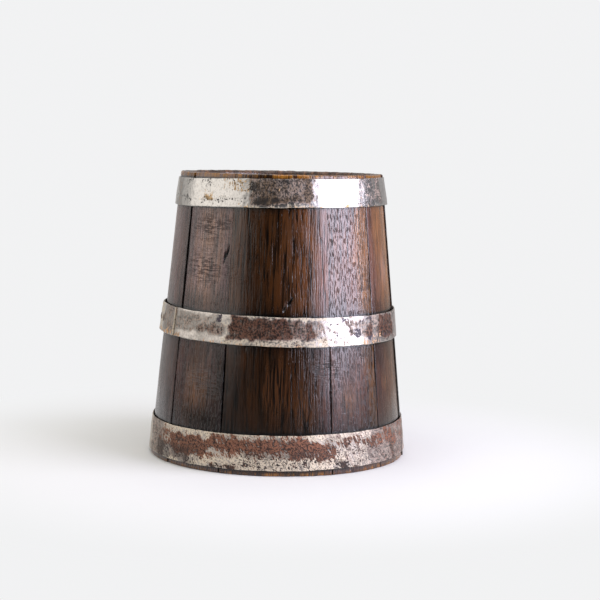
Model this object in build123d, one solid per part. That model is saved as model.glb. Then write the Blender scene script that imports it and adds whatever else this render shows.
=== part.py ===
from build123d import *
import os
from math import cos, radians, sin

# Coopered oak tub of a small butter churn: wide foot, narrow mouth, three riveted steel hoops.
# Millimetres. Origin at the centre of the foot, on the surface the tub stands on; +Z is up.
# Azimuths are in degrees about +Z, from the front (-Y) towards +X.

# --- Driving dimensions ---------------------------------------------------------------------
height = 330.0
foot_radius = 150.8
mouth_radius = 118.3
stave_thickness = 16.0

# Each stave's width as a share of the full turn, from the joint at first_joint onwards.
first_joint = -56.0
stave_widths = (30.7, 31.6, 18.2, 27.5, 29.0, 24.0, 22.0, 24.6, 25.4, 25.6, 18.9, 19.3, 31.6, 31.6)

rim_round = 1.2          # chamfer round the outside of the rim
rim_bevel = 3.0          # sloping cut round the inside of the rim
foot_chamfer = 1.2       # chamfer round the outside of the foot
chime_bevel = 4.0        # sloping cut round the inside of the foot

# Croze: the groove in the staves that holds the head.
croze_low = 22.0
croze_width = 7.0
croze_depth = 4.6

# Head: the bottom, made of boards doweled edge to edge, with a bevelled rim that fits the croze.
head_thickness = 14.0
head_gap = 0.3           # clearance at the bottom of the croze
tongue_slack = 0.2       # the bevelled rim is this much thinner than the croze is wide
head_bevel_reach = 18.0  # how far the bevel runs in from the head's rim
board_widths = (61.0, 76.0, 70.0)     # the last board takes what is left
board_turn = 24.0        # the boards' joints are turned this far from the front

dowel_radius = 4.0
dowel_length = 38.0
dowel_slack = 0.05       # clearance round a dowel in its hole
dowel_offset = 62.0      # distance of a dowel from the middle of its joint

# Hoops: a strip bent round the staves, its ends lapped and riveted.
strip_thickness = 1.2
lap_gap = 0.06           # between the two layers of a lap
joggle = 16.0            # angle over which the strip steps out on to its other end
rivet_shank = 2.2        # radius
rivet_head = 4.2         # radius
rivet_dome = 0.9         # height of the head
rivet_slack = 0.02       # clearance round a rivet in its hole

# For each hoop: outside radius and height of the strip's lower and upper edges; lean about +X and
# +Y; shift off the tub's axis; azimuth of the strip's visible end and the angle it laps; angles of
# the rivets behind that end.
hoops = {
    "top": dict(low=(124.7, 293.5), high=(120.2, 325.0), lean=(-0.1, -0.85), shift=(0.0, 0.0),
                lap_end=142.0, lap=30.0, rivets=(7.0, 22.0)),
    "middle": dict(low=(139.9, 143.3), high=(136.2, 175.4), lean=(0.55, 0.76), shift=(0.0, 1.25),
                   lap_end=-59.0, lap=27.0, rivets=(15.0, 22.0)),
    "bottom": dict(low=(151.9, 6.5), high=(148.2, 44.9), lean=(0.0, -0.3), shift=(-0.25, 0.0),
                   lap_end=-137.0, lap=25.0, rivets=(6.0, 18.0)),
}

# --- Shape of the tub's wall ----------------------------------------------------------------
wall_slope = (foot_radius - mouth_radius) / height


def outside(z):
    """Outside radius of the staves at height z."""
    return foot_radius - wall_slope * z


def inside(z):
    """Inside radius of the staves at height z."""
    return outside(z) - stave_thickness


def section(points):
    """Flat face through (radius, height) points, in the plane of azimuth 0."""
    corners = [(0, -radius, z) for radius, z in points]
    return make_face(Polyline(*corners, close=True))


def at_azimuth(shape, azimuth):
    """The shape, turned from azimuth 0 to an azimuth."""
    return shape.rotate(Axis.Z, azimuth)


# --- Staves ---------------------------------------------------------------------------------
croze_high = croze_low + croze_width
croze_middle = croze_low + croze_width / 2
croze_floor = inside(croze_middle) + croze_depth


def stave(start, width):
    """One stave, from the joint at azimuth start, with the croze cut across its inside."""
    profile = section([
        (outside(0) - foot_chamfer, 0),
        (outside(foot_chamfer), foot_chamfer),
        (outside(height - rim_round), height - rim_round),
        (outside(height) - rim_round, height),
        (inside(height) + rim_bevel, height),
        (inside(height - rim_bevel), height - rim_bevel),
        (inside(croze_high), croze_high),
        (croze_floor, croze_high),
        (croze_floor, croze_low),
        (inside(croze_low), croze_low),
        (inside(chime_bevel), chime_bevel),
        (inside(0) + chime_bevel, 0),
    ])
    return revolve(at_azimuth(profile, start), Axis.Z, width)


# --- Head -----------------------------------------------------------------------------------
head_radius = croze_floor - head_gap


def head_disc():
    """The whole head as one disc, thinned by a bevel above and below at its rim."""
    tongue = (croze_width - tongue_slack) / 2
    half = head_thickness / 2
    flat_radius = head_radius - head_bevel_reach
    shoulder = head_radius - croze_depth
    profile = section([
        (0, croze_middle - half),
        (flat_radius, croze_middle - half),
        (shoulder, croze_middle - tongue),
        (head_radius, croze_middle - tongue),
        (head_radius, croze_middle + tongue),
        (shoulder, croze_middle + tongue),
        (flat_radius, croze_middle + half),
        (0, croze_middle + half),
    ])
    return revolve(profile, Axis.Z, 360)


def board_joints():
    """Offsets of the joints between head boards from the tub's axis."""
    joints = []
    edge = -head_radius
    for width in board_widths:
        edge += width
        joints.append(edge)
    return joints


def dowel_rods(radius, length):
    """Two rods across each joint between head boards."""
    rods = []
    for joint in board_joints():
        for side in (-dowel_offset, dowel_offset):
            rod = Cylinder(radius, length, rotation=(0, 90, 0))
            rods.append(at_azimuth(Pos(joint, side, croze_middle) * rod, board_turn))
    return rods


def head_boards():
    """The head sawn into boards, each drilled for the dowels in its edges."""
    disc = head_disc()
    holes = dowel_rods(dowel_radius + dowel_slack, dowel_length + 2 * dowel_slack)
    edges = [-foot_radius] + board_joints() + [foot_radius]
    boards = []
    for low, high in zip(edges, edges[1:]):
        slab = Box(high - low, 2 * foot_radius, 2 * head_thickness)
        slab = at_azimuth(Pos((low + high) / 2, 0, croze_middle) * slab, board_turn)
        board = disc & slab
        for hole in holes:
            board -= hole
        boards.append(board)
    return boards


# --- Hoops ----------------------------------------------------------------------------------
lap_step = strip_thickness + lap_gap


def strip_section(hoop, step=0.0):
    """The strip's section at azimuth 0, moved outwards by step."""
    low_radius, low = hoop["low"]
    high_radius, high = hoop["high"]
    return section([
        (low_radius - strip_thickness + step, low),
        (low_radius + step, low),
        (high_radius + step, high),
        (high_radius - strip_thickness + step, high),
    ])


def upright_axis(azimuth, distance):
    """Upright axis at a distance from the tub's axis, towards an azimuth."""
    turn = radians(azimuth)
    return Axis((distance * sin(turn), -distance * cos(turn), 0), (0, 0, 1))


def bent_strip(hoop):
    """The strip runs once round, steps out over its own start, and ends at the lap's visible end."""
    start = hoop["lap_end"] - hoop["lap"]
    step_start = start - joggle
    bend_shift = lap_step / (2 * (1 - cos(radians(joggle / 2))))
    plain_section = strip_section(hoop)

    plain = revolve(at_azimuth(plain_section, start), Axis.Z, 360 - joggle)
    out_axis = upright_axis(step_start, -bend_shift)
    out_section = at_azimuth(plain_section, step_start)
    out_bend = revolve(out_section, out_axis, joggle / 2)
    back_axis = upright_axis(start, bend_shift)
    back_bend = revolve(out_section.rotate(out_axis, joggle / 2), back_axis, joggle / 2)
    lapped = revolve(at_azimuth(strip_section(hoop, lap_step), start), Axis.Z, hoop["lap"])
    return plain + out_bend + back_bend + lapped


def rivet_place(hoop, azimuth):
    """Plane on the lap's outer face at an azimuth, facing outwards."""
    low_radius, low = hoop["low"]
    high_radius, high = hoop["high"]
    slope = (low_radius - high_radius) / (high - low)
    radius = (low_radius + high_radius) / 2 + lap_step
    turn = radians(azimuth)
    out = Vector(sin(turn), -cos(turn), 0)
    return Plane(origin=out * radius + Vector(0, 0, (low + high) / 2), z_dir=out + Vector(0, 0, slope))


def rivet(place):
    """A rivet through both layers of a lap: domed outside, hammered flush inside."""
    grip = 2 * strip_thickness + lap_gap
    dome_radius = (rivet_head ** 2 + rivet_dome ** 2) / (2 * rivet_dome)
    ball = Pos(0, 0, rivet_dome - dome_radius) * Sphere(dome_radius)
    over = Pos(0, 0, dome_radius) * Box(3 * dome_radius, 3 * dome_radius, 2 * dome_radius)
    shank = Pos(0, 0, -grip / 2) * Cylinder(rivet_shank, grip)
    return place * ((ball & over) + shank)


def rivet_hole(place):
    grip = 2 * strip_thickness + lap_gap
    return place * Cylinder(rivet_shank + rivet_slack, 2 * grip + 2)


def settle(shape, hoop):
    """A hoop or its rivets, leant and shifted to where the hoop sits on the staves."""
    centre = (0, 0, (hoop["low"][1] + hoop["high"][1]) / 2)
    about_x, about_y = hoop["lean"]
    leant = shape.rotate(Axis(centre, (1, 0, 0)), about_x).rotate(Axis(centre, (0, 1, 0)), about_y)
    return leant.translate((*hoop["shift"], 0))


# --- Files ----------------------------------------------------------------------------------
def write(name, shape):
    export_step(shape, f"parts/{name}.step")


os.makedirs("parts", exist_ok=True)

joint_azimuth = first_joint
for number, width in enumerate(stave_widths, 1):
    write(f"stave_{number:02d}", stave(joint_azimuth, width))
    joint_azimuth += width

for number, board in enumerate(head_boards(), 1):
    write(f"head_board_{number}", board)
write("head_dowels", Compound(children=dowel_rods(dowel_radius, dowel_length)))

for name, hoop in hoops.items():
    places = [rivet_place(hoop, hoop["lap_end"] - angle) for angle in hoop["rivets"]]
    strip = bent_strip(hoop)
    for place in places:
        strip -= rivet_hole(place)
    write(f"hoop_{name}", settle(strip, hoop))
    write(f"rivets_{name}", settle(Compound(children=[rivet(place) for place in places]), hoop))
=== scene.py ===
from math import atan2, cos, degrees, radians, sin

import bpy
import numpy as np
from mathutils import Matrix, Vector

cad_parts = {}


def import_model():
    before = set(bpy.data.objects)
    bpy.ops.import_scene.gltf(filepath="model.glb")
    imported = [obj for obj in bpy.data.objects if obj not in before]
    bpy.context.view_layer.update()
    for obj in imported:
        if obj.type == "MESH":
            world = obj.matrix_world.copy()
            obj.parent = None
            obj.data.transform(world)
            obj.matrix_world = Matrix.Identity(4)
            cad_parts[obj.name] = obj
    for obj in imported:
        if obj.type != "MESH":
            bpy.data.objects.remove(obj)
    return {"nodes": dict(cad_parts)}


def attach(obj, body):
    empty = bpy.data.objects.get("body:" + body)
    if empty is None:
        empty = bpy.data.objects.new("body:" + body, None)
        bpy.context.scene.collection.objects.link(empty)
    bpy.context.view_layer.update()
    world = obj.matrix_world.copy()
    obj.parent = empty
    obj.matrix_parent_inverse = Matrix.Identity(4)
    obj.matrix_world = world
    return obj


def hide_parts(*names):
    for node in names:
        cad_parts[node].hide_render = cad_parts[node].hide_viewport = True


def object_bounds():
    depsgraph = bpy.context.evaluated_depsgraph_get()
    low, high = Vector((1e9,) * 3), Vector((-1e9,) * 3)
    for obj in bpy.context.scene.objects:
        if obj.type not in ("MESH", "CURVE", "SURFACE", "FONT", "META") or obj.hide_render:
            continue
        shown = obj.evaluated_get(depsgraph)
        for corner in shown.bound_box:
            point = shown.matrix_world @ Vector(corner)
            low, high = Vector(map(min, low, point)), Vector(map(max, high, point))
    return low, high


# Looks of a small coopered oak churn tub: waxed, raised-grain staves with uneven joints, a boarded
# head, and three lapped steel hoops with worn edges, patina and rust.
# Lengths are in millimetres unless a name says otherwise, and azimuths in degrees about +Z, from
# the front (-Y) towards +X.

MM = 0.001
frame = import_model()
cad_low, cad_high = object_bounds()
height = cad_high.z / MM

# --- Random fields --------------------------------------------------------------------------


def chance(seed, i, j=0):
    """Scattered numbers from -1 to 1, always the same for the same seed and whole numbers."""
    # Large odd factors spread the bits, and the shifts fold the high ones down.
    mask = 0xFFFFFFFF
    mixed = np.asarray(i, np.int64) * 374761393 + np.asarray(j, np.int64) * 668265263
    mixed = (mixed + seed * 97531) & mask
    mixed = ((mixed ^ (mixed >> 13)) * 1274126177) & mask
    return ((mixed ^ (mixed >> 16)) & 0xFFFF) / 32767.5 - 1


def ease(t):
    """From 0 at 0 to 1 at 1, level at both ends and outside them."""
    t = np.clip(t, 0, 1)
    return t * t * (3 - 2 * t)


def waves(seed, x, y):
    """Smooth random field from -1 to 1, with about one bump for each unit of x and of y."""
    i = np.floor(x).astype(np.int64)
    j = np.floor(y).astype(np.int64)
    u = ease(x - i)
    v = ease(y - j)
    low = chance(seed, i, j) * (1 - u) + chance(seed, i + 1, j) * u
    high = chance(seed, i, j + 1) * (1 - u) + chance(seed, i + 1, j + 1) * u
    return low * (1 - v) + high * v


def layered(seed, x, y, layers=3):
    """Waves with finer and weaker ones on top of them."""
    return sum(waves(seed + 7 * n, x * 2 ** n, y * 2 ** n) / 2 ** n for n in range(layers))


def spot(x, y, centre, reach):
    """1 at a centre (x, y), falling to 0 at an ellipse round it with the given half axes."""
    away = np.hypot((x - centre[0]) / reach[0], (y - centre[1]) / reach[1])
    return ease(1 - away)


# --- Meshes ---------------------------------------------------------------------------------


def grid_faces(index):
    """The quads of a two-way grid of point numbers."""
    corners = [index[:-1, :-1], index[1:, :-1], index[1:, 1:], index[:-1, 1:]]
    return np.stack(corners, axis=-1).reshape(-1, 4)


def block(name, points, vectors, colours, sharp=40.0):
    """A closed piece from the outer faces of a lattice of points, with its texture attributes.

    points is shaped (across, deep, up, 3) and turns right-handed. vectors and colours name further
    arrays of the same first three sizes.
    """
    sizes = points.shape[:3]
    index = np.arange(np.prod(sizes)).reshape(sizes)
    faces = np.concatenate([
        grid_faces(index[-1]),
        grid_faces(index[0])[:, ::-1],
        grid_faces(index[:, 0]),
        grid_faces(index[:, -1])[:, ::-1],
        grid_faces(index[:, :, -1]),
        grid_faces(index[:, :, 0])[:, ::-1],
    ])
    used, corners = np.unique(faces, return_inverse=True)
    mesh = bpy.data.meshes.new(name)
    mesh.vertices.add(len(used))
    mesh.vertices.foreach_set("co", (points.reshape(-1, 3)[used] * MM).astype(np.float32).ravel())
    mesh.loops.add(faces.size)
    mesh.loops.foreach_set("vertex_index", corners.astype(np.int32).ravel())
    mesh.polygons.add(len(faces))
    mesh.polygons.foreach_set("loop_start", np.arange(0, faces.size, 4, dtype=np.int32))
    mesh.update(calc_edges=True)
    for label, values in vectors.items():
        attribute = mesh.attributes.new(label, "FLOAT_VECTOR", "POINT")
        attribute.data.foreach_set("vector", values.reshape(-1, 3)[used].astype(np.float32).ravel())
    for label, values in colours.items():
        attribute = mesh.attributes.new(label, "FLOAT_COLOR", "POINT")
        attribute.data.foreach_set("color", values.reshape(-1, 4)[used].astype(np.float32).ravel())
    mesh.shade_smooth()
    mesh.set_sharp_from_angle(angle=radians(sharp))
    piece = bpy.data.objects.new(name, mesh)
    bpy.context.scene.collection.objects.link(piece)
    return piece


def stand_for(piece, node, material):
    """The piece stands in for a CAD node: it gets the material, joins the root body, and the node is
    hidden.
    """
    piece.data.materials.append(material)
    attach(piece, "root")
    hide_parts(node)


def node_points(node):
    """Radius, azimuth and height of each corner of a CAD node."""
    places = [vertex.co / MM for vertex in frame["nodes"][node].data.vertices]
    return np.array([(place.xy.length, degrees(atan2(place.x, -place.y)), place.z) for place in places])


def around(radius, azimuth, z):
    """Points from radius, azimuth and height arrays."""
    turn = np.radians(azimuth)
    return np.stack(np.broadcast_arrays(radius * np.sin(turn), -radius * np.cos(turn), z), axis=-1)


def signed(azimuth):
    """The same azimuth from -180 to 180."""
    return (azimuth + 180) % 360 - 180


# --- Materials ------------------------------------------------------------------------------


class Nodes:
    """A node tree, built with short calls that return output sockets."""

    def __init__(self, tree):
        self.tree = tree
        tree.nodes.clear()

    def add(self, kind, inputs, output=0, **settings):
        """A node with its settings and inputs. An input is a value, or a socket to link."""
        node = self.tree.nodes.new("ShaderNode" + kind)
        for label, value in settings.items():
            setattr(node, label, value)
        for label, value in inputs.items():
            if isinstance(value, bpy.types.NodeSocket):
                self.tree.links.new(value, node.inputs[label])
            else:
                node.inputs[label].default_value = value
        return node.outputs[output] if node.outputs else None

    def attribute(self, label, output="Vector"):
        return self.add("Attribute", {}, output, attribute_name=label)

    def split(self, colour):
        """Red, green and blue of a colour."""
        node = self.add("SeparateColor", {0: colour}).node
        return node.outputs[0], node.outputs[1], node.outputs[2]

    def math(self, operation, a, b=0.0):
        return self.add("Math", {0: a, 1: b}, operation=operation)

    def times(self, a, b):
        return self.math("MULTIPLY", a, b)

    def plus(self, a, b):
        return self.math("ADD", a, b)

    def stretch(self, vector, factors):
        return self.add("VectorMath", {0: vector, 1: factors}, operation="MULTIPLY")

    def scaled(self, vector, factor):
        return self.add("VectorMath", {0: vector, "Scale": factor}, operation="SCALE")

    def noise(self, vector, factors, detail=2.0, roughness=0.5):
        """Noise from 0 to 1 with factors bumps per unit along each axis."""
        stretched = self.stretch(vector, factors)
        inputs = {"Vector": stretched, "Scale": 1.0, "Detail": detail, "Roughness": roughness}
        return self.add("TexNoise", inputs)

    def between(self, value, low, high, smallest=0.0, largest=1.0):
        """Smoothly from smallest, where value is low, to largest, where it is high."""
        inputs = {"Value": value, "From Min": low, "From Max": high, "To Min": smallest, "To Max": largest}
        return self.add("MapRange", inputs, interpolation_type="SMOOTHSTEP")

    def mix(self, share, a, b):
        """Colour a, or b where share is 1."""
        return self.add("Mix", {0: share, 6: a, 7: b}, 2, data_type="RGBA")

    def darken(self, share, colour, shade):
        """The colour multiplied by a shade where share is 1."""
        return self.add("Mix", {0: share, 6: colour, 7: shade}, 2, data_type="RGBA", blend_type="MULTIPLY")

    def bump(self, value, distance):
        """A normal raised by value times distance, in millimetres."""
        return self.add("Bump", {"Height": value, "Distance": distance * MM, "Strength": 1.0})

    def surface(self, **inputs):
        """The tree's output, from a Principled shader."""
        named = {label.replace("_", " "): value for label, value in inputs.items()}
        shader = self.add("BsdfPrincipled", named)
        self.add("OutputMaterial", {0: shader})


def new_material(name):
    """A material and its empty node tree."""
    material = bpy.data.materials.new(name)
    material.use_nodes = True
    return material, Nodes(material.node_tree)


def rgb(red, green, blue):
    """An opaque colour for a socket."""
    return red, green, blue, 1.0


def oak(name, plain_tint=None):
    """Old waxed oak.

    Without a plain tint, the tint comes with each point, with the strength of the black dashes in its
    alpha, and the wear colour holds the grooves of the grain, the saw marks, the black stain with the
    painted contact shadow along the hoops' edges, and the strength of the grain's lines. With one, the
    grain runs along the head boards.
    """
    material, n = new_material(name)
    if plain_tint is None:
        grain = n.attribute("grain")
        tint = n.attribute("tint", "Color")
        dashes = n.attribute("tint", "Alpha")
        groove, sawn, stain_and_shadow = n.split(n.attribute("wear_and_shadow", "Color"))
        figure = n.attribute("wear_and_shadow", "Alpha")
    else:
        grain = board_grain(n)
        tint, dashes, groove, sawn, stain_and_shadow, figure = plain_tint, 0.3, 0.0, 0.0, 0.0, 0.5

    # Patterns: broad streaks, the grain's ridges and fibres, mottling, black dashes and saw marks.
    streaks = n.noise(grain, (0.16, 0.16, 0.01), 2.0, 0.5)
    weave = n.math("SUBTRACT", n.noise(grain, (0.48, 0.48, 0.016), 0.0), 0.5)
    ridges = n.between(n.math("ABSOLUTE", weave), -0.01, 0.085)
    fibres = n.between(n.noise(grain, (0.7, 0.7, 0.03), 0.0), 0.42, 0.58)
    mottle = n.noise(grain, (0.09, 0.09, 0.05), 4.0, 0.65)
    pores = n.between(n.noise(grain, (0.8, 0.8, 0.15), 0.0), 0.54, 0.61)
    pores = n.times(pores, dashes)
    kerfs = n.between(n.noise(grain, (0.13, 0.13, 0.7), 0.0), 0.46, 0.56)
    notches = n.times(sawn, kerfs)

    # Colour: the tint with darker and lighter grain, warmer in places, and black where it is cut.
    lines = n.plus(n.times(ridges, 0.52), n.times(fibres, 0.48))
    tone = n.plus(lines, n.plus(n.times(streaks, 0.4), n.times(mottle, 0.25)))
    shade = n.times(n.between(tone, 0.54, 1.2, -0.82, 0.9), figure)
    colour = n.scaled(tint, n.plus(shade, 1.0))
    warm = n.stretch(colour, (1.12, 1.0, 0.8))
    colour = n.mix(n.between(n.plus(mottle, streaks), 0.85, 1.2), colour, warm)
    colour = n.darken(n.times(pores, 0.9), colour, rgb(0.16, 0.11, 0.1))
    colour = n.darken(n.between(n.plus(groove, notches), 0.1, 0.9), colour, rgb(0.14, 0.09, 0.08))
    # Black stain, which right along the hoops' edges is also painted contact shadow.
    colour = n.darken(stain_and_shadow, colour, rgb(0.05, 0.055, 0.08))

    # Surface: waxed, with raised grain, and dull where it is cut.
    relief = n.math("SUBTRACT", lines, n.times(n.plus(pores, notches), 1.6))
    normal = n.bump(relief, 0.105)
    dull = n.plus(n.plus(pores, notches), n.between(groove, 0.6, 1.0))
    roughness = n.between(dull, 0.0, 1.0, 0.2, 0.8)
    n.surface(Base_Color=colour, Roughness=roughness, Normal=normal, Specular_IOR_Level=0.7)
    return material


def board_grain(n):
    """Grain along the head boards of the frame, in millimetres."""
    place = n.add("TexCoord", {}, "Object")
    inputs = {"Vector": place, "Rotation": (radians(90), 0, radians(board_turn)), "Scale": (MM,) * 3}
    return n.add("Mapping", inputs, vector_type="TEXTURE")


# --- Staves ---------------------------------------------------------------------------------
stave_count = 14

# The wall's slope and its radius at the foot, from the first stave in the frame.
wall_points = node_points("stave_01")
widest_low = wall_points[wall_points[:, 0].argmax()]
rim_points = wall_points[wall_points[:, 2] > height - 2]
widest_high = rim_points[rim_points[:, 0].argmax()]
wall_slope = (widest_low[0] - widest_high[0]) / (widest_high[2] - widest_low[2])
foot_radius = widest_low[0] + wall_slope * widest_low[2]

thickness = 16.0
rim_round = 1.2
rim_bevel = 3.0
chime_bevel = 4.0
croze_low = 22.0
croze_high = 29.0
croze_depth = 4.6
arris = 0.9              # radius of a stave's worn long edges
end_reach = 1.6          # how far the rounding of the rim and of the foot runs along a stave
outer_setback = 0.35     # how far the outer face lies inside the CAD one, before its relief
inner_setback = 0.15     # how far the inner face lies outside the CAD one, before its relief
rim_unevenness = 0.35    # how much lower the rim's end grain lies on average
rim_lowest = 0.7         # and at most
board_turn = 24.0        # the head boards are turned this far about +Z

# The strips' paths, as the frame has them: outside radius and height of the lower and upper edges,
# lean about +X and +Y, shift off the tub's axis, azimuth of the visible end, and the angle it laps.
hoops = {
    "top": dict(low=(124.7, 293.5), high=(120.2, 325.0), lean=(-0.1, -0.85), shift=(0.0, 0.0),
                lap_end=142.0, lap=30.0),
    "middle": dict(low=(139.9, 143.3), high=(136.2, 175.4), lean=(0.55, 0.76), shift=(0.0, 1.25),
                   lap_end=-59.0, lap=27.0),
    "bottom": dict(low=(151.9, 6.5), high=(148.2, 44.9), lean=(0.0, -0.3), shift=(-0.25, 0.0),
                   lap_end=-137.0, lap=25.0),
}
strip_thickness = 1.2
strip_setback = 0.2      # how far the strip lies inside the CAD one, before its dents
lap_step = 1.26          # how far the strip stands out over its own other end
joggle = 16.0            # angle over which it steps out
section_turn = 0.45      # angle between its cross-sections
edge_reach = 0.45        # how far in from its edges it thins out
edge_thinning = 0.28     # how much each of its faces is worn back at the edges

# Tints of the oak, as the light that it gives back.
# Mauve, ash and rosewood also hold painted sheen, part of the side lamps' reflections on the front staves.
tones = {
    "ash_and_sheen": (0.195, 0.12, 0.1),
    "mauve_and_sheen": (0.112, 0.062, 0.059),
    "umber": (0.024, 0.0092, 0.0027),
    "soot": (0.011, 0.0048, 0.0026),
    "walnut": (0.038, 0.0145, 0.0048),
    "russet": (0.062, 0.0252, 0.01),
    "rosewood_sheen": (0.108, 0.052, 0.042),
    "amber": (0.125, 0.055, 0.023),
    "honey": (0.23, 0.115, 0.055),
    "straw": (0.26, 0.115, 0.018),
}
hidden_tones = ("mauve_and_sheen", "walnut", "russet", "amber", "ash_and_sheen", "russet")

# For each stave that faces the front: how proud it stands, its tilt in degrees, the depth of its long
# grooves and of its short ones, the strength of its dashes and of its lines, and its tints at the left
# edge, in the middle and at the right edge.
# The pale mauve, ash and rosewood tints of the front staves are partly painted sheen of the side lamps.
stave_looks = {
    "stave_14": (0.1, 0.4, 0.1, 0.05, 0.2, 0.5, ("mauve_and_sheen", "mauve_and_sheen", "mauve_and_sheen")),
    "stave_01": (-0.1, 0.3, 0.08, 0.1, 0.3, 0.7, ("mauve_and_sheen", "ash_and_sheen", "mauve_and_sheen")),
    "stave_02": (0.0, -0.4, 0.04, 0.0, 0.15, 1.1, ("walnut", "umber", "walnut")),
    "stave_03": (-0.1, 1.4, 0.16, 0.0, 0.2, 1.1, ("walnut", "russet", "rosewood_sheen")),
    "stave_04": (0.1, -0.2, 0.14, 0.08, 0.7, 0.95, ("rosewood_sheen", "rosewood_sheen", "honey")),
    "stave_05": (-0.2, -1.1, 0.05, 0.03, 0.15, 0.45, ("rosewood_sheen", "amber", "honey")),
    "stave_06": (0.6, -0.8, 0.1, 0.1, 0.3, 0.6, ("russet", "russet", "walnut")),
}

# Lighter or darker places on the staves: azimuth, height, their half sizes, the tint and its strength.
stains = (
    (45, 272, 3.5, 14, "honey", 0.9),
    (40, 236, 3, 12, "honey", 0.4),
    (62, 268, 4, 12, "honey", 0.3),
    (68, 225, 5, 28, "ash_and_sheen", 0.5),
    (-42, 188, 26, 16, "walnut", 0.6),
    (32, 186, 18, 14, "walnut", 0.35),
    (-22, 92, 9, 60, "soot", 0.9),
    (-36, 56, 14, 14, "soot", 0.8),
    (-14, 205, 9, 25, "soot", 0.6),
    (3, 215, 4, 40, "russet", 0.45),
    (-2, 95, 6, 35, "russet", 0.5),
    (12, 70, 4, 30, "amber", 0.4),
    (-40, 86, 10, 22, "honey", 0.35),
    (-44, 60, 14, 18, "walnut", 0.7),
    (34, 78, 6, 22, "honey", 0.5),
    (60, 96, 4, 12, "honey", 0.4),
    (5.6, 184, 0.45, 7, "ash_and_sheen", 1.0),
    (3.0, 188, 0.4, 4, "ash_and_sheen", 1.0),
)

# Fields of saw marks across the grain: azimuth, height, half sizes and strength.
saw_marks = (
    (-40, 270, 15, 26, 0.6),
    (-40, 224, 20, 26, 0.62),
    (-38, 100, 16, 24, 0.4),
    (22, 116, 8, 16, 0.8),
)

# Cuts and chips: azimuth, height, half width, half length, slope off the grain, and depth.
cuts = (
    (5.2, 191, 1.6, 6.0, 0.6, 4.5),
    (2.4, 183, 1.2, 5.0, 0.2, 2.2),
    (-27.4, 243, 1.8, 9.0, 0.3, 2.0),
    (-28.9, 237, 1.6, 9.0, 0.1, 1.8),
    (-15.5, 139, 1.0, 4.0, 0.1, 0.6),
)

# Open width of the joint at each stave's left edge, in the upper and in the lower panel.
joint_gaps = {
    "stave_14": (0.5, 0.5),
    "stave_01": (1.5, 0.4),
    "stave_02": (0.2, 1.2),
    "stave_03": (0.16, 0.3),
    "stave_04": (0.15, 0.8),
    "stave_05": (0.4, 0.6),
    "stave_06": (1.2, 1.2),
}
usual_gaps = (0.6, 0.6)
joint_closed = 0.65      # share of the thickness where an open joint has closed
closed_gap = 0.03        # what each stave stays clear of a closed joint

# How much darker the lower panel is than the upper one.
usual_dim = 0.55
stave_dims = {"stave_02": 0.25}

# How far dark dirt spreads over the wood above and below each hoop.
dirt_above = {"top": 2.0, "middle": 13.0, "bottom": 19.0}
dirt_below = {"top": 2.0, "middle": 13.0, "bottom": 1.5}

# How deep the outer face's looks reach, as shares of the thickness.
skin_depth = 0.08        # saw marks, and the rim's straw colour
groove_depth = 0.3       # grooves and chips
outer_depth = 0.5        # tints and black stain


def stave_name(number):
    """The CAD node of a stave."""
    return f"stave_{number:02d}"


def outside(z):
    """Outside radius of the staves at height z."""
    return foot_radius - wall_slope * z


def upper_panel(z):
    """0 in the lower panel, 1 in the upper one, and between them behind the middle hoop."""
    return ease((z - 120) / 60)


def edge_height(hoop, azimuth, edge):
    """Height of a hoop's "low" or "high" edge at an azimuth."""
    radius, z = hoop[edge]
    about_x, about_y = (radians(angle) for angle in hoop["lean"])
    turn = np.radians(azimuth)
    return z - radius * (np.cos(turn) * sin(about_x) + np.sin(turn) * sin(about_y))


def steps(length, pitch, edge):
    """Places from 0 to length, pitch apart, with the given finer ones inside both ends."""
    edge = np.array(edge)
    middle = np.linspace(edge[-1], length - edge[-1], max(2, round((length - 2 * edge[-1]) / pitch) + 1))
    return np.concatenate([edge[:-1], middle, length - edge[:-1][::-1]])


def stacked(shape, *channels):
    """A colour for each point of a lattice, from four channels kept between 0 and 1.2."""
    return np.stack([np.clip(np.broadcast_to(channel, shape), 0, 1.2) for channel in channels], axis=-1)


def hoop_stain_and_shadow(azimuth, z):
    """Dark dirt on the wood along the hoops' edges, and painted contact shadow right at them, from 0 to 1.
    """
    ragged = 1 + 0.45 * layered(31, azimuth / 9, z / 60)
    stain_and_shadow = np.zeros(np.broadcast(azimuth, z).shape)
    for name, hoop in hoops.items():
        above = z - edge_height(hoop, azimuth, "high")
        below = edge_height(hoop, azimuth, "low") - z
        spread = dirt_above[name] * ragged
        # Dirt spreads from the edge; the narrow black band right at the edge is painted contact shadow as
        # well as rust stain.
        stain_and_shadow = np.maximum(stain_and_shadow, 0.8 * np.exp(-np.abs(above) / spread) + 0.4 * (np.abs(above) < 2.0))
        spread = dirt_below[name] * ragged
        # The same below the hoop: spreading dirt, and a narrow band of painted contact shadow and stain at
        # the edge.
        stain_and_shadow = np.maximum(stain_and_shadow, 0.75 * np.exp(-np.abs(below) / spread) + 0.4 * (np.abs(below) < 1.2))
        stain_and_shadow = np.where((above < 0) & (below < 0), 0.9, stain_and_shadow)
    return stain_and_shadow


def blended(stops, s):
    """Tints along s, from the left edge at -1 over the middle to the right edge at 1."""
    left, middle, right = (np.array(tones[stop]) for stop in stops)
    return middle + (left - middle) * ease(-s)[..., None] + (right - middle) * ease(s)[..., None]


def near(azimuth, z, centre, half_sizes, seed):
    """1 at a centre and 0 outside an uneven patch round it."""
    shifted = azimuth + 0.25 * half_sizes[0] * layered(seed, azimuth / 5, z / 14)
    return spot(shifted, z, centre, (half_sizes[0] * 1.3, half_sizes[1] * 1.3))


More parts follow.
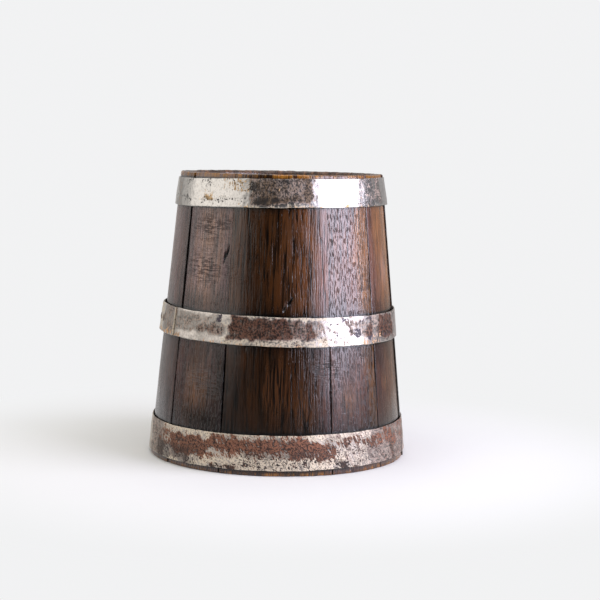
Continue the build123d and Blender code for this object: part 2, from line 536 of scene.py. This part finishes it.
def stave_look(name, seed):
    """The stave's row of stave_looks, or a row drawn by chance on the tub's hidden side."""
    if name in stave_looks:
        return stave_looks[name]
    proud = 0.15 * chance(seed, 1)
    tilt = 0.5 * chance(seed, 2)
    long_cut = 0.14 + 0.06 * chance(seed, 3)
    short_cut = 0.06 + 0.05 * chance(seed, 8)
    dashes = 0.4 + 0.3 * chance(seed, 4)
    figure = 0.7 + 0.2 * chance(seed, 9)
    stops = [hidden_tones[int(3 + 2.99 * chance(seed, pick))] for pick in (5, 6, 7)]
    return proud, tilt, long_cut, short_cut, dashes, figure, stops


def stave_span(name):
    """Azimuth of a stave's middle, and half the angle it takes, in radians."""
    azimuths = node_points(name)[:, 1]
    if np.ptp(azimuths) > 180:
        azimuths = azimuths % 360
    first, last = azimuths.min(), azimuths.max()
    return (first + last) / 2, radians(last - first) / 2


def stave_lattice(half_angle):
    """Shares s across a stave from -1 to 1 and t through it from 0 to 1, and heights z.

    They are closest together at the edges, where the relief is finest.
    """
    mean_width = 2 * half_angle * outside(height / 2)
    across = steps(mean_width, 0.62, (0, 0.25, 0.55, 0.95, 1.5)) / mean_width * 2 - 1
    deep = np.array([0, 0.03, 0.1, 0.25, 0.45, 0.7, 0.9, 0.97, 1])
    rows = steps(height, 1.7, (0, 0.35, 0.8, 1.3, 2.2, 4.0))
    croze_rows = [croze_low - 0.05, croze_low + 0.05, croze_high - 0.05, croze_high + 0.05]
    up = np.sort(np.concatenate([rows, croze_rows]))
    return across[:, None, None], deep[None, :, None], up[None, None, :]


def open_joints(number, s, z):
    """Half of the open width of the nearer joint at each point, which is what this stave loses."""
    upper = upper_panel(z)
    halves = []
    for joint in (number, number % stave_count + 1):
        high_gap, low_gap = joint_gaps.get(stave_name(joint), usual_gaps)
        seed = 900 + joint
        wander = 1 + 0.45 * waves(seed, z / 38, z * 0) + 0.2 * waves(seed + 1, z / 9, z * 0)
        halves.append((high_gap * upper + low_gap * (1 - upper)) * wander / 2)
    return np.where(s < 0, *halves)


def grain_grooves(seed, x, z, long_cut, short_cut):
    """Depth of the grooves that run with the grain: long wandering ones and short ones."""
    bent = x + 1.5 * waves(seed + 12, x / 25, z / 80)
    long_grooves = np.clip(1 - np.abs(waves(seed + 11, bent / 1.9, z / 60)) / 0.13, 0, 1)
    short_grooves = np.clip(2.2 * waves(seed + 13, bent / 0.95, z / 6) - 0.5, 0, 1)
    ragged = 0.6 + 0.4 * layered(seed + 10, x / 12, z / 50)
    return (long_cut * long_grooves + short_cut * short_grooves) * ragged


def chip_depths(middle, x, z):
    """Depth of the cuts and chips on the stave whose middle is at an azimuth."""
    chips = 0
    for azimuth, level, half_across, half_length, slope, depth in cuts:
        off_line = x - radians(signed(azimuth - middle)) * outside(z) - slope * (z - level)
        chips = chips + depth * spot(off_line, z, (0, level), (half_across, half_length))
    return chips


def worn_arris(from_edge, half_gap):
    """How far a long edge is rounded back, most at an open joint."""
    rounded = np.clip(1 - from_edge / arris, 0, 1)
    return arris * (1 - np.sqrt(1 - rounded ** 2)) * np.clip(half_gap / 0.35 - 0.2, 0.0, 1.2)


def worn_ends(seed, x, z):
    """How far the outer edges of the rim and of the foot are rounded back."""
    end = np.clip(1 - np.minimum(z, height - z) / end_reach, 0, 1)
    return rim_round * (1 - np.sqrt(1 - end ** 2)) * (1 + 0.4 * waves(seed + 16, x / 5, z * 0))


def inner_radius(seed, x, z, long_cut):
    """The inner face: the croze, the bevels at rim and foot, and shallow marks of the drawknife."""
    in_croze = (z > croze_low) & (z < croze_high)
    radius = outside(z) - thickness + croze_depth * in_croze
    radius = radius + np.maximum(z - (height - rim_bevel), 0) + np.maximum(chime_bevel - z, 0)
    marks = 0.12 * layered(seed + 17, x / 6, z / 70) + 0.5 * long_cut * waves(seed + 18, x / 1.6, z / 60)
    return radius + np.where(in_croze, 0, inner_setback + marks)


def bare_ends(z):
    """How bare the wood is: 1 at the rim, 0.4 at the foot, and 0 between them."""
    return np.maximum(ease((z - (height - 7)) / 4), 0.4 * ease((5 - z) / 4))


def stave_tints(name, seed, lattice, x, azimuth, stops):
    """The oak's colour at each point: tints and stains outside, amber inside, straw at the ends."""
    s, t, z = lattice
    outer_x = x[:, :1]
    tint = blended(stops, s + 0.25 * layered(seed + 20, outer_x / 14, z / 90))
    for centre, level, half_turn, half_rise, stop, strength in stains:
        share = strength * near(azimuth, z, (centre, level), (half_turn, half_rise), seed + 23)
        tint = tint + (np.array(tones[stop]) - tint) * share[..., None]
    dim = 1 - stave_dims.get(name, usual_dim) * (1 - upper_panel(z))
    light = dim * (1 + 0.3 * layered(seed + 22, outer_x / 25, z / 140))
    inner = np.array(tones["amber"]) * (1 + 0.4 * layered(seed + 24, x[:, -1:] / 5, z / 90))[..., None]
    tint = np.where((t < outer_depth)[..., None], tint * light[..., None], inner)
    crown = bare_ends(z) * (0.65 + 0.9 * layered(seed + 25, outer_x / 4, z * 0))
    crown_tone = np.where((t < skin_depth)[..., None], tones["straw"], tones["walnut"])
    return tint + (crown_tone - tint) * np.clip(crown, 0, 1)[..., None]


def black_stain_and_shadow(lattice, azimuth, from_edge, half_gap, chips):
    """Black dirt along the hoops and in the joints and chips, with painted contact shadow at the hoops'
    edges.
    """
    _, t, z = lattice
    joint_dirt = np.clip(4 * half_gap, 0.4, 1) * np.exp(-from_edge / (0.3 + 2.2 * half_gap))
    stain_and_shadow = np.maximum(hoop_stain_and_shadow(azimuth, z), joint_dirt + np.minimum(chips, 1))
    # Inside, the wood is darker low down.
    stain_and_shadow = np.where(t < outer_depth, stain_and_shadow, 0.3 * (z < 60))
    return stain_and_shadow * (1 - 0.85 * ease((z - (height - 6)) / 3))


def sawn_share(seed, lattice, azimuth):
    """Strength of the saw marks: their fields on the outer face, and the bare ends' own marks."""
    _, t, z = lattice
    sawn = 0
    for centre, level, half_turn, half_rise, strength in saw_marks:
        sawn = sawn + strength * near(azimuth, z, (centre, level), (half_turn, half_rise), seed + 26)
    return np.where(t < skin_depth, sawn, 0.4 * bare_ends(z))


def stave(number):
    """One stave between its CAD joints: raised grain, worn arrises, uneven joints and croze."""
    name = stave_name(number)
    seed = 100 * number
    middle, half_angle = stave_span(name)
    proud, tilt, long_cut, short_cut, dashes, figure, stops = stave_look(name, seed)
    lattice = stave_lattice(half_angle)
    s, t, z = lattice

    # x is the distance from the stave's middle, at first as it is on the CAD outer face.
    half_width = half_angle * outside(z)
    x = s * half_width
    from_edge = half_width - np.abs(x)
    half_gap = open_joints(number, s, z)

    # What is cut from the outer face: grooves, chips, a flat swell, worn edges and a tilt.
    grooves = grain_grooves(seed, x, z, long_cut, short_cut)
    chips = chip_depths(middle, x, z)
    swell = 0.25 * (1 + layered(seed + 14, x / 22, z / 110))
    cut = grooves + chips + swell + worn_arris(from_edge, half_gap) - proud
    cut = cut - x * np.tan(radians(tilt)) + outer_setback + worn_ends(seed, x, z)
    radius_out = outside(z) - np.maximum(cut, 0)
    radius = radius_out * (1 - t) + inner_radius(seed, x, z, long_cut) * t

    # The joints close deeper in, and x is now the distance at each point's own radius.
    gap = half_gap * np.clip(1 - t / joint_closed, 0, 1) + closed_gap
    x = s * (half_angle * radius - gap)
    azimuth = middle + np.degrees(x / radius)

    # The rim's end grain is a little uneven.
    uneven = rim_unevenness * (1 + layered(seed + 19, x / 7, t * 3)) * ease((z - height + 3) / 3)
    points = around(radius, azimuth, z - np.minimum(uneven, rim_lowest))

    # The colours that the oak reads.
    shape = points.shape[:3]
    faced = signed(azimuth[:, :1])
    outer = t < outer_depth
    tint = stave_tints(name, seed, lattice, x, faced, stops)
    dashed = np.broadcast_to(np.where(outer, dashes, 0.4), shape)
    paint = np.concatenate([tint, dashed[..., None]], axis=-1)
    groove = np.where(t < groove_depth, np.minimum(3 * grooves, 0.5) + chips, 0)
    sawn = sawn_share(seed, lattice, faced)
    stain_and_shadow = black_stain_and_shadow(lattice, faced, from_edge, half_gap, chips)
    lines = np.where(outer, figure, 0.6) * (1 - 0.4 * bare_ends(z))
    wear_and_shadow = stacked(shape, groove, sawn, stain_and_shadow, lines)

    # Each stave is cut from another place in the wood.
    offset = 137.0 * number
    place = [x + offset, t * thickness + 0.31 * offset, z]
    grain_place = np.stack([np.broadcast_to(part, shape) for part in place], axis=-1)
    return block(name + "_oak", points, {"grain": grain_place}, {"tint": paint, "wear_and_shadow": wear_and_shadow})


# --- Hoops ----------------------------------------------------------------------------------


def strip_dents(seed, azimuth, share):
    """Height of the strip's dents and waves."""
    broad = 0.28 * layered(seed, azimuth / 9, share * 2)
    return broad + 0.12 * layered(seed + 1, azimuth / 2.5, share * 5)


def strip_points(hoop, seed):
    """Lattice of a hoop's strip, and each point's azimuth, share of the width, radius and height."""
    start = hoop["lap_end"] - hoop["lap"]
    turned = np.arange(0, 360 + hoop["lap"], section_turn)
    turned = np.append(turned, 360 + hoop["lap"])[:, None, None]
    azimuth = start + turned
    low_radius, low = hoop["low"]
    high_radius, high = hoop["high"]
    width = high - low
    share = steps(width, 1.35, (0, 0.15, 0.4, 0.9))[None, None, :] / width
    t = np.array([0, 0.5, 1])[None, :, None]
    step = lap_step * ease((turned - (360 - joggle)) / joggle)

    # The dents meet where the azimuth starts again.
    wrapped = azimuth % 360
    blend = ease((wrapped - 350) / 10)
    from_start = strip_dents(seed, wrapped - 360, share)
    dents = strip_dents(seed, wrapped, share) * (1 - blend) + from_start * blend

    # The strip thins out along its two edges, which are a little ragged.
    edge = np.clip(1 - np.minimum(share, 1 - share) * width / edge_reach, 0, 1)
    thin = edge_thinning * edge ** 2
    radius = low_radius + (high_radius - low_radius) * share + step + dents - strip_setback
    radius = radius - thin - t * (strip_thickness - 2 * thin)
    ragged = 0.3 * layered(seed + 2, azimuth / 6, share * 0) * np.abs(2 * share - 1)
    z = low + width * share + ragged
    points = around(radius, azimuth, z)

    # The strip leans about its own middle, and may sit a little off the tub's axis.
    centre = Vector((0, 0, (low + high) / 2))
    about_x, about_y = (radians(angle) for angle in hoop["lean"])
    lean = np.array(Matrix.Rotation(about_y, 3, "Y") @ Matrix.Rotation(about_x, 3, "X"))
    points = (points - np.array(centre)) @ lean.T + np.array(centre)
    points = points + np.array([*hoop["shift"], 0])
    return points, *np.broadcast_arrays(signed(azimuth), share, radius, z)


# Looks of each hoop's steel: its slot, its colours where it is bright, deeply tarnished, rusty and
# specked, how soft the rust's edge is, and the roughness where it is bright.
steels = {
    "top": dict(slot="hoop_steel_bright",
                bright=(0.6, 0.575, 0.54), brown=(0.09, 0.062, 0.04), rust=(0.4, 0.27, 0.14),
                specks=(0.02, 0.015, 0.012), rust_edge=0.72, roughness=0.29),
    "middle": dict(slot="hoop_steel_patina",
                   bright=(0.62, 0.57, 0.52), brown=(0.068, 0.031, 0.019), rust=(0.32, 0.19, 0.1),
                   specks=(0.055, 0.042, 0.055), rust_edge=0.75, roughness=0.33),
    "bottom": dict(slot="hoop_steel_rusted",
                   bright=(0.52, 0.46, 0.4), brown=(0.07, 0.046, 0.034), rust=(0.122, 0.05, 0.027),
                   specks=(0.03, 0.018, 0.014), rust_edge=0.58, roughness=0.42),
}


def steel(name):
    """Steel with patina, rust, dark specks and pale crust, spread as the look colour says."""
    looks = steels[name]
    material, n = new_material("steel_" + name)
    strip = n.attribute("strip")
    patina, rust, dirt = n.split(n.attribute("look", "Color"))
    chalk = n.attribute("look", "Alpha")

    # Patterns.
    fine = n.noise(strip, (0.48, 0.42, 0.48), 1.0, 0.6)
    blotch = n.noise(strip, (0.13, 0.13, 0.13), 4.0, 0.62)
    streak = n.noise(strip, (0.5, 0.06, 0.4), 2.0, 0.6)
    brushed = n.noise(strip, (0.06, 2.5, 0.06), 3.0, 0.6)

    # Where the steel is dull, deeply tarnished, rusty, specked with black, and crusted.
    ragged = n.plus(n.times(blotch, 0.4), n.plus(n.times(fine, 0.35), n.times(streak, 0.45)))
    ragged = n.times(n.math("SUBTRACT", ragged, 0.6), 3.2)
    dull = n.between(n.plus(patina, ragged), 0.4, 0.58)
    deep = n.between(n.plus(patina, n.times(ragged, 0.6)), 0.62, 1.05)
    rusty = n.between(n.plus(rust, ragged), 0.42, looks["rust_edge"])
    scattered = n.math("SUBTRACT", n.plus(n.times(fine, 0.75), n.times(blotch, 0.25)), 0.5)
    black = n.between(n.plus(dirt, n.times(scattered, 2.4)), 0.46, 0.58)
    # The pale crust's channel also carries the painted highlight on the strip's visible end.
    chalky = n.between(n.plus(chalk, ragged), 0.4, 0.6)

    # Colour.
    grey = n.between(patina, 0.0, 0.4, 1.0, 0.6)
    clean = n.times(grey, n.between(n.plus(n.times(streak, 0.4), fine), 0.5, 0.74, 0.78, 1.06))
    clean = n.scaled(looks["bright"], clean)
    brown = n.mix(deep, rgb(0.2, 0.157, 0.13), rgb(*looks["brown"]))
    brown = n.scaled(brown, n.between(n.plus(n.times(streak, 0.3), fine), 0.53, 0.77, 0.25, 2.2))
    red = n.scaled(looks["rust"], n.between(n.plus(n.times(blotch, 0.3), fine), 0.53, 0.77, 0.2, 2.1))
    pale = n.mix(n.between(fine, 0.32, 0.47), rgb(0.2, 0.145, 0.1), rgb(0.68, 0.59, 0.46))
    colour = n.mix(chalky, clean, pale)
    colour = n.mix(dull, colour, brown)
    colour = n.mix(rusty, colour, red)
    colour = n.mix(black, colour, rgb(*looks["specks"]))

    # Surface: metal shows where nothing covers it.
    covered = n.plus(n.times(dull, 0.55), n.plus(n.times(rusty, 0.9), n.plus(black, n.times(chalky, 0.6))))
    metallic = n.between(covered, 0.0, 1.0, 0.95, 0.05)
    rough = n.plus(n.times(n.math("MAXIMUM", dull, chalky), 0.5), n.plus(rusty, n.times(fine, 0.3)))
    roughness = n.between(rough, 0.1, 1.2, looks["roughness"], 0.75)
    raised = n.plus(n.times(fine, 0.5), n.times(brushed, 0.15))
    raised = n.math("SUBTRACT", raised, n.times(black, 0.5))
    raised = n.plus(raised, n.times(n.plus(dull, rusty), 0.2))
    n.surface(Base_Color=colour, Metallic=metallic, Roughness=roughness, Normal=n.bump(raised, 0.12))
    return material


def iron():
    """Dark iron of the rivets, rusty in places."""
    material, n = new_material("rivet_iron")
    place = n.scaled(n.add("TexCoord", {}, "Object"), 1 / MM)
    blotch = n.noise(place, (0.5, 0.5, 0.5), 3.0, 0.6)
    rusty = n.between(blotch, 0.42, 0.6)
    colour = n.mix(rusty, rgb(0.32, 0.28, 0.25), rgb(0.13, 0.065, 0.038))
    n.surface(Base_Color=colour, Metallic=n.between(rusty, 0.0, 1.0, 0.9, 0.1),
              Roughness=n.between(rusty, 0.0, 1.0, 0.35, 0.75), Normal=n.bump(blotch, 0.2))
    return material


# Patches on each hoop: azimuths from and to, shares of the width from and to, and strength.
hoop_patches = {
    "top": dict(
        patina=((-17, 14, 0.13, 1.1, 0.7), (-14, -2, 0.2, 0.9, 0.2), (-12, 10, 0.16, 0.34, 0.25),
                (60, 68, 0.1, 1.1, 0.5), (-76, -66, -0.1, 1.1, 0.35), (12, 15, 0.2, 0.7, 0.4),
                (11, 16, -0.1, 1.1, 0.3), (13, 22, -0.1, 1.1, 0.26), (44, 58, -0.1, 1.1, 0.36)),
        chalk=((-18, 20, -0.1, 0.12, 0.6),),
        rust=((-25, -16, 0.5, 0.98, 0.56), (-34, -25, 0.58, 1.05, 0.44), (-45, -37, 0.2, 0.62, 0.36),
              (-50, -26, 0.2, 0.36, 0.36), (-20, 60, -0.1, 0.04, 0.5)),
        dirt=((-63, -54, 0.82, 0.98, 0.5), (-63, -53, 0.16, 0.36, 0.55), (-46, -39, 0.5, 0.98, 0.42),
              (-7, 9, 0.88, 1.0, 0.65), (10, 22, 0.91, 1.0, 0.5), (-15, -7, 0.14, 0.34, 0.62),
              (-6, 0, 0.22, 0.42, 0.66), (2, 9, 0.14, 0.3, 0.55),
              (-17, -11, 0.5, 0.9, 0.45), (-48, -18, 0.14, 0.32, 0.42), (51, 55, 0.8, 0.98, 0.5),
              (43, 66, 0.1, 0.26, 0.4), (-88, -60, 0.28, 0.42, 0.4), (-30, -16, 0.5, 1.0, 0.28)),
    ),
    "middle": dict(
        patina=((-73, -59, 0.1, 1.1, 0.5), (-57.5, -28.5, 0.3, 0.93, 0.46), (-40, -26, 0.22, 0.62, 0.3),
                (-25, 5, 0.18, 0.98, 1.0), (4, 14, 0.22, 0.92, 0.8), (13, 20.5, 0.3, 0.95, 0.62),
                (55, 70, 0.16, 1.0, 1.0), (69, 78, -0.1, 1.1, 0.48), (47, 56, -0.1, 1.1, 0.42),
                (35, 49.5, 0.3, 0.97, 0.62), (20, 37, 0.0, 1.1, 0.3)),
        chalk=((-25, 22, -0.1, 0.3, 0.65), (-25, 22, 0.9, 1.1, 0.6), (-29, -24, 0.0, 1.1, 0.4),
               (-95, -74, -0.1, 1.1, 0.5), (20, 56, -0.1, 1.1, 0.3)),
        rust=((-90, -52, -0.05, 0.16, 0.6), (44, 58, -0.05, 0.3, 0.45), (-50, 12, -0.1, 0.05, 0.5)),
        dirt=((-31, -27.3, 0.66, 0.94, 0.8), (-64, -59.5, 0.7, 0.98, 0.35), (38, 42.5, 0.2, 0.62, 0.75),
              (32, 36, 0.86, 1.0, 0.5), (39, 44, 0.76, 0.92, 0.45), (44, 50, 0.82, 0.95, 0.6),
              (47.5, 51, 0.16, 0.36, 0.7), (4, 11, 0.0, 0.14, 0.5), (59, 66, 0.22, 0.42, 0.45),
              (21, 38, 0.2, 0.95, 0.26), (0, 20, 0.2, 0.9, 0.2)),
    ),
    "bottom": dict(
        patina=((-77, -60, -0.1, 1.1, 0.5), (-64, -40, 0.02, 0.5, 0.5), (60, 78, -0.1, 1.1, 0.6),
                (76, 95, -0.1, 1.1, 0.4), (20, 46, -0.1, 1.1, 0.35),
                (-15, 16, 0.04, 0.5, 0.2), (-45, -36, 0.15, 0.45, 0.2), (45, 62, -0.1, 1.1, 0.55)),
        chalk=((-60, 46, -0.1, 1.1, 0.47), (-95, -60, -0.1, 1.1, 0.2), (46, 95, -0.1, 1.1, 0.2),
               (-60, 46, 0.88, 1.1, 0.1), (-34, 30, -0.1, 0.35, 0.2)),
        rust=((-53, -29, 0.28, 0.83, 0.72), (-62, -50, 0.4, 1.0, 0.42), (-30, -20, 0.55, 0.96, 0.6),
              (-21, 20, 0.53, 0.83, 0.76), (-30, 25, 0.3, 0.6, 0.3), (4, 25, 0.3, 0.7, 0.28),
              (20, 48, 0.6, 0.86, 0.44), (46, 62, 0.5, 0.92, 0.5), (-20, 12, 0.84, 1.0, 0.38),
              (-34, -16, -0.1, 0.1, 0.5), (24, 34, -0.1, 0.13, 0.5), (60, 95, 0.4, 1.0, 0.36),
              (-60, 46, 0.0, 0.5, 0.1)),
        dirt=((-66, -38, 0.0, 0.5, 0.2), (-16, 20, 0.04, 0.55, 0.18), (20, 50, 0.1, 0.9, 0.14),
              (-34, -16, -0.1, 0.12, 0.3), (24, 34, -0.1, 0.14, 0.34), (-70, 70, -0.1, 1.1, 0.12)),
    ),
}

# What each hoop has everywhere of every kind of patch, and the rust added on its hidden side.
patches_everywhere = {"top": 0.0, "middle": 0.0, "bottom": 0.1}
hidden_rust = {"top": -0.12, "middle": -0.1, "bottom": 0.25}

# How far the streaks run sideways for each step down.
streak_slant = {"top": 0.0, "middle": 0.0, "bottom": 0.4}

patched_to = 84.0                    # azimuth that the patches reach on either side
lap_end_highlight = (0.1, 0.0, 0.0, 0.9)  # the strip's visible end is painted pale: a painted highlight where its end face catches the light
usual_hoop_radius = 140.0            # turns an angle into a length along any of the strips


def window(value, low, high, soft):
    """1 from low to high and 0 outside them, with ends as wide as soft."""
    return ease((value - low) / soft + 0.5) * ease((high - value) / soft + 0.5)


def hoop_look(name, seed, azimuth, share):
    """How much patina, rust, dirt and chalk there is at each place on a hoop.

    The patches lie on the side that faces the front. Behind it, all four kinds are scattered.
    """
    behind = ease((np.abs(azimuth) - patched_to) / 12)
    turn = azimuth + 2.4 * layered(seed + 50, azimuth / 4, share * 2.5, 4)
    level = share + 0.08 * layered(seed + 51, azimuth / 4, share * 2.5, 4)
    channels = []
    for number, kind in enumerate(("patina", "rust", "dirt", "chalk")):
        amount = patches_everywhere[name]
        for left, right, low, high, strength in hoop_patches[name][kind]:
            amount = amount + strength * window(turn, left, right, 3) * window(level, low, high, 0.15)
        scatter = 0.42 + 0.3 * layered(seed + 10 * number, azimuth / 14, share * 2.2) - 0.1 * number
        if kind == "rust":
            scatter = scatter + hidden_rust[name]
        channels.append(np.clip(amount * (1 - behind) + scatter * behind, 0, 1))
    return np.stack(np.broadcast_arrays(*channels), axis=-1)


def hoop_strip(name, number):
    """One hoop: a dented strip along its CAD path, with the looks and places its steel reads."""
    seed = 3000 + 100 * number
    points, azimuth, share, radius, z = strip_points(hoops[name], seed)
    look = hoop_look(name, seed, azimuth, share)
    # The strip's visible end gets a painted highlight.
    look[-2:] = lap_end_highlight
    along = np.radians(azimuth) * usual_hoop_radius
    strip = np.stack([along + streak_slant[name] * z, z - z.min(), radius], axis=-1)
    return block(f"hoop_{name}_strip", points, {"strip": strip}, {"look": look})


# --- Stage, lights and camera ---------------------------------------------------------------
paper_radius = 0.65      # metres
floor_radius = 12.0      # metres
backdrop = (0.885, 0.888, 0.895)


def plain_glow(name, colour):
    """A material that shows just its colour, whatever the light."""
    material, n = new_material(name)
    glow = n.add("Emission", {"Color": colour, "Strength": 1.0})
    n.add("OutputMaterial", {0: glow})
    return material


def disc(name, inner, outer, material):
    """A flat ring, or a disc where inner is 0, on the surface that the tub stands on. In metres."""
    turns = np.linspace(0, 2 * np.pi, 97)[:-1]
    rings = [outer] if inner == 0 else [inner, outer]
    corners = [(radius * cos(a), radius * sin(a), 0) for radius in rings for a in turns]
    count = len(turns)
    faces = [tuple(range(count))]
    if inner > 0:
        faces = [(a, a + count, (a + 1) % count + count, (a + 1) % count) for a in range(count)]
    mesh = bpy.data.meshes.new(name)
    mesh.from_pydata(corners, [], faces)
    mesh.materials.append(material)
    piece = bpy.data.objects.new(name, mesh)
    bpy.context.scene.collection.objects.link(piece)
    return piece


def floor():
    """A pale paper disc under the tub, and a wide plain ring of the backdrop's colour round it."""
    material, n = new_material("paper")
    place = n.add("TexCoord", {}, "Object")
    distance = n.add("VectorMath", {0: place}, "Value", operation="LENGTH")
    far = n.between(distance, 0.18, 0.5)
    mottle = n.noise(place, (6, 6, 6), 3.0)
    colour = n.mix(mottle, rgb(0.79, 0.795, 0.785), rgb(0.82, 0.825, 0.815))
    paper = n.add("BsdfDiffuse", {"Color": colour})
    glow = n.add("Emission", {"Color": rgb(*backdrop), "Strength": 1.0})
    both = n.add("MixShader", {0: far, 1: paper, 2: glow})
    n.add("OutputMaterial", {0: both})
    disc("paper", 0, paper_radius, material)
    ring = disc("far_floor", paper_radius, floor_radius, plain_glow("far_floor", rgb(*backdrop)))
    ring.visible_diffuse = False
    ring.visible_glossy = False
    ring.visible_shadow = False


def world():
    """A pale room with a dark side behind the camera, and the backdrop's plain colour to look at."""
    scene_world = bpy.data.worlds.new("studio")
    scene_world.use_nodes = True
    n = Nodes(scene_world.node_tree)
    direction = n.add("TexCoord", {}, "Generated")
    parts = n.add("SeparateXYZ", {0: direction}).node
    x, y, z = parts.outputs
    top = n.between(z, 0.4, 0.9)
    back = n.between(y, 0.1, 0.8)
    side = n.between(x, -0.2, 0.7, 1.0, 0.6)
    level = n.plus(n.times(top, 0.6), n.times(n.times(back, side), 0.55))
    level = n.plus(level, 0.025)
    room = n.add("Background", {"Color": rgb(1.0, 0.98, 0.96), "Strength": level})
    seen = n.add("Background", {"Color": rgb(*backdrop), "Strength": 1.0})
    camera_ray = n.add("LightPath", {}, "Is Camera Ray")
    both = n.add("MixShader", {0: camera_ray, 1: room, 2: seen})
    n.add("OutputWorld", {0: both})
    bpy.context.scene.world = scene_world


def softbox(name, azimuth, elevation, distance, size, power, colour):
    """A soft light that faces the tub's middle. Its distance and size are in metres."""
    data = bpy.data.lights.new(name, "AREA")
    data.shape = "RECTANGLE"
    data.size, data.size_y = size
    data.energy = power
    data.color = colour
    lamp = bpy.data.objects.new(name, data)
    bpy.context.scene.collection.objects.link(lamp)
    turn, rise = radians(azimuth), radians(elevation)
    towards = Vector((sin(turn) * cos(rise), -cos(turn) * cos(rise), sin(rise)))
    lamp.location = Vector((0, 0, height / 2 * MM)) + towards * distance
    lamp.rotation_mode = "QUATERNION"
    lamp.rotation_quaternion = towards.to_track_quat("Z", "Y")
    lamp.visible_camera = False


def camera():
    """A long lens, a little above the rim, with a slight pan and roll."""
    away, up = 5.354 * height, 1.1096 * height
    data = bpy.data.cameras.new("camera")
    data.lens = 90
    data.sensor_width = 36
    view = bpy.data.objects.new("camera", data)
    bpy.context.scene.collection.objects.link(view)
    place = Matrix.Translation((0, -away * MM, up * MM))
    pan = Matrix.Rotation(radians(-0.791), 4, "Z")
    pitch = Matrix.Rotation(radians(90 - 6.022), 4, "X")
    roll = Matrix.Rotation(radians(1.12), 4, "Z")
    view.matrix_world = place @ pan @ pitch @ roll
    bpy.context.scene.camera = view


# --- The tub --------------------------------------------------------------------------------
oak_stave = oak("oak_stave")
for number in range(1, stave_count + 1):
    stand_for(stave(number), stave_name(number), oak_stave)

for number, name in enumerate(hoops, 1):
    stand_for(hoop_strip(name, number), f"hoop_{name}", steel(name))

# The head's boards and dowels and the rivets keep their CAD shapes.
carried_over = {"head_": oak("oak_head", tones["amber"]), "rivets_": iron()}
for name, node in frame["nodes"].items():
    for start, material in carried_over.items():
        if name.startswith(start):
            node.data.materials.clear()
            node.data.materials.append(material)

floor()
world()
softbox("key", 65, 17, distance=1.9, size=(1.7, 1.2), power=59, colour=(0.85, 0.83, 1.0))
softbox("fill", -74, 20, distance=1.35, size=(2.0, 0.95), power=8.2, colour=(1.0, 0.965, 0.93))
softbox("top", 0, 84, distance=1.5, size=(1.5, 1.5), power=8.5, colour=(1.0, 0.98, 0.95))
camera()
bpy.context.scene.view_settings.view_transform = "Standard"
